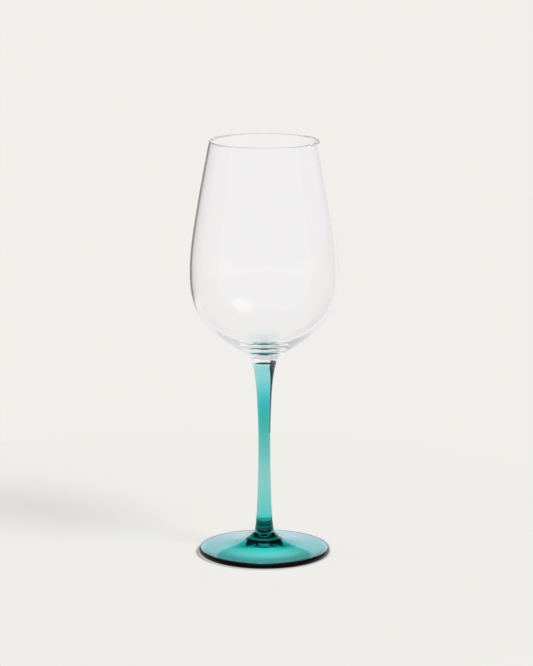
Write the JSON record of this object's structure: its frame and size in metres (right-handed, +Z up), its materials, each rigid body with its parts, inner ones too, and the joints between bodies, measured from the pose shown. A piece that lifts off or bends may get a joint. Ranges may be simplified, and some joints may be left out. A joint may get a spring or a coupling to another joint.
{
  "type": "wine glass",
  "caption": "Stemmed wine glass with a clear, tall, slightly closed bowl, a slim teal stem and a round teal foot.",
  "frame": {"origin": "centre of the flat ring on the underside of the foot, on the surface that the glass stands on", "axes": "+Z up along the stem, out of the mouth of the bowl; X and Y are equal, because every piece is round"},
  "size_m": [0.0832, 0.0832, 0.235],
  "materials": {
    "clear_glass": "clear, fire-polished",
    "teal_glass": "teal, transparent, fire-polished"
  },
  "bodies": {
    "root": {"bowl": "clear_glass", "stem": "teal_glass", "foot": "teal_glass"}
  },
  "joints": []
}
